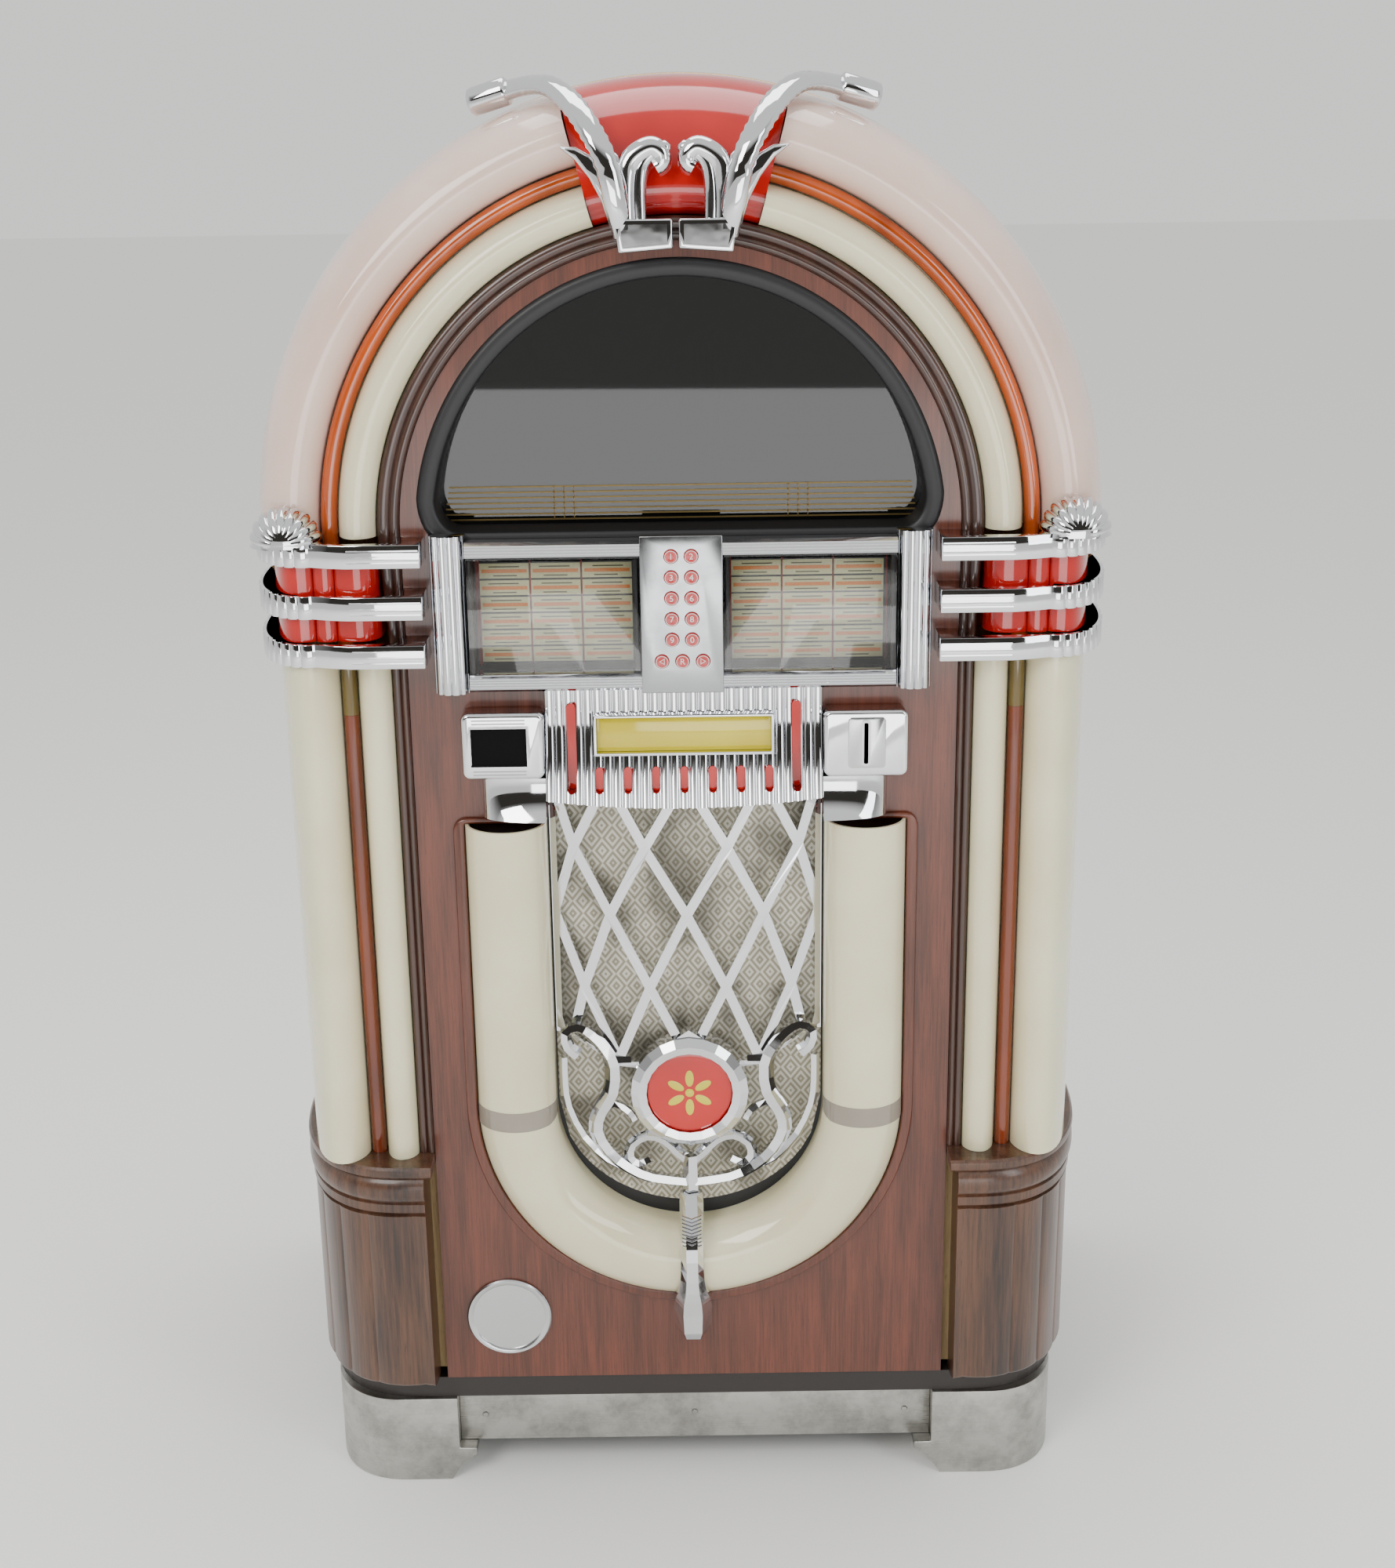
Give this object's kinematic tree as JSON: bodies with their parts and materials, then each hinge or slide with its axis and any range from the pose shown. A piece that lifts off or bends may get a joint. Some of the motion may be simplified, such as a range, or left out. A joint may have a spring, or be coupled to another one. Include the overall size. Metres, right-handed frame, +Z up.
{
  "type": "jukebox",
  "caption": "Arched floor-standing jukebox with a hinged bubbler front, push-button keypad, turning title drum, disc magazine and chrome grille.",
  "frame": {"origin": "on the floor under the middle of the whole part", "axes": "+Z up, -Y out of the decorated front, +X to the right as seen from the front"},
  "size_m": [0.875, 0.64, 1.5335],
  "materials": {
    "black": "black, satin",
    "chrome": "polished",
    "cream": "translucent cream, glossy",
    "dark_moulding": "dark brown lacquer",
    "ebony": "near black stain, satin",
    "glass": "clear",
    "mahogany": "polished reddish veneer",
    "orange": "clear liquid tube, glossy",
    "paper": "pale green printed strips, matte",
    "pink": "translucent pale pink, glossy",
    "plywood": "bare plywood, matte",
    "red": "translucent red, glossy",
    "steel": "brushed and scuffed",
    "walnut": "polished dark veneer",
    "zinc": "grey, satin"
  },
  "bodies": {
    "cabinet": {"cabinet_shell": "mahogany", "cabinet_base": "ebony", "back_panel": "ebony", "front_feet": "steel", "cd_deck": "black", "hinge_cabinet_leaf": "steel"},
    "front_door": {"arch_center_plastic": "red", "arch_inner_plastic_left": "cream", "arch_inner_plastic_right": "cream", "arch_moulding": "dark_moulding", "arch_outer_plastic_left": "pink", "arch_outer_plastic_right": "pink", "band_casting_left": "chrome", "band_casting_right": "chrome", "bubble_tube_left": "orange", "bubble_tube_right": "orange", "coin_housing": "chrome", "column_plastic_left": "cream", "column_plastic_right": "cream", "crown_left": "chrome", "crown_right": "chrome", "door_frame": "plywood", "front_panel": "mahogany", "grille_casting": "chrome", "grille_tail": "chrome", "grille_tube": "cream", "header_casting": "chrome", "header_lens": "red", "hinge_door_leaf": "steel", "lock_keeper": "steel", "medallion": "red", "pilaster_base_left": "walnut", "pilaster_base_right": "walnut", "price_housing": "chrome", "red_collar_left": "red", "red_collar_right": "red", "selector_frame": "chrome", "speaker_baffle": "plywood", "title_glass": "glass", "title_housing": "zinc", "window_frame": "dark_moulding", "window_glass": "glass", "woofer": "black"},
    "title_drum": {"title_drum": "paper"},
    "cd_magazine": {"cd_magazine": "black"},
    "gripper_arm": {"cd_gripper_arm": "zinc"},
    "lock": {"door_lock": "chrome"},
    "button_0_key": {"button_0": "red"},
    "button_1_key": {"button_1": "red"},
    "button_2_key": {"button_2": "red"},
    "button_3_key": {"button_3": "red"},
    "button_4_key": {"button_4": "red"},
    "button_5_key": {"button_5": "red"},
    "button_6_key": {"button_6": "red"},
    "button_7_key": {"button_7": "red"},
    "button_8_key": {"button_8": "red"},
    "button_9_key": {"button_9": "red"},
    "button_left_key": {"button_left": "red"},
    "button_reset_key": {"button_reset": "red"},
    "button_right_key": {"button_right": "red"}
  },
  "joints": [
    {"name": "door_hinge", "type": "hinge", "parent": "cabinet", "child": "front_door", "pos_m": [-0.429, -0.1005, 0.703], "axis": [0, 0, -1], "range_deg": [0, 100]},
    {"name": "drum_spin", "type": "hinge", "parent": "front_door", "child": "title_drum", "pos_m": [0, -0.199, 1.0155], "axis": [1, 0, 0], "continuous": true},
    {"name": "magazine_spin", "type": "hinge", "parent": "cabinet", "child": "cd_magazine", "pos_m": [-0.16, -0.003, 1.171], "axis": [0, 0, 1], "continuous": true},
    {"name": "gripper_swing", "type": "hinge", "parent": "cabinet", "child": "gripper_arm", "pos_m": [0.03, -0.003, 1.249], "axis": [0, 0, 1], "range_deg": [0, 90]},
    {"name": "lock_turn", "type": "hinge", "parent": "cabinet", "child": "lock", "pos_m": [0.4348, -0.07, 0.653], "axis": [-1, 0, 0], "range_deg": [0, 90]},
    {"name": "button_0_press", "type": "slide", "parent": "front_door", "child": "button_0_key", "axis": [0, 1, 0], "range_m": [0, 0.0025], "stiffness_N_per_m": 250},
    {"name": "button_1_press", "type": "slide", "parent": "front_door", "child": "button_1_key", "axis": [0, 1, 0], "range_m": [0, 0.0025], "stiffness_N_per_m": 250},
    {"name": "button_2_press", "type": "slide", "parent": "front_door", "child": "button_2_key", "axis": [0, 1, 0], "range_m": [0, 0.0025], "stiffness_N_per_m": 250},
    {"name": "button_3_press", "type": "slide", "parent": "front_door", "child": "button_3_key", "axis": [0, 1, 0], "range_m": [0, 0.0025], "stiffness_N_per_m": 250},
    {"name": "button_4_press", "type": "slide", "parent": "front_door", "child": "button_4_key", "axis": [0, 1, 0], "range_m": [0, 0.0025], "stiffness_N_per_m": 250},
    {"name": "button_5_press", "type": "slide", "parent": "front_door", "child": "button_5_key", "axis": [0, 1, 0], "range_m": [0, 0.0025], "stiffness_N_per_m": 250},
    {"name": "button_6_press", "type": "slide", "parent": "front_door", "child": "button_6_key", "axis": [0, 1, 0], "range_m": [0, 0.0025], "stiffness_N_per_m": 250},
    {"name": "button_7_press", "type": "slide", "parent": "front_door", "child": "button_7_key", "axis": [0, 1, 0], "range_m": [0, 0.0025], "stiffness_N_per_m": 250},
    {"name": "button_8_press", "type": "slide", "parent": "front_door", "child": "button_8_key", "axis": [0, 1, 0], "range_m": [0, 0.0025], "stiffness_N_per_m": 250},
    {"name": "button_9_press", "type": "slide", "parent": "front_door", "child": "button_9_key", "axis": [0, 1, 0], "range_m": [0, 0.0025], "stiffness_N_per_m": 250},
    {"name": "button_left_press", "type": "slide", "parent": "front_door", "child": "button_left_key", "axis": [0, 1, 0], "range_m": [0, 0.0025], "stiffness_N_per_m": 250},
    {"name": "button_reset_press", "type": "slide", "parent": "front_door", "child": "button_reset_key", "axis": [0, 1, 0], "range_m": [0, 0.0025], "stiffness_N_per_m": 250},
    {"name": "button_right_press", "type": "slide", "parent": "front_door", "child": "button_right_key", "axis": [0, 1, 0], "range_m": [0, 0.0025], "stiffness_N_per_m": 250}
  ]
}
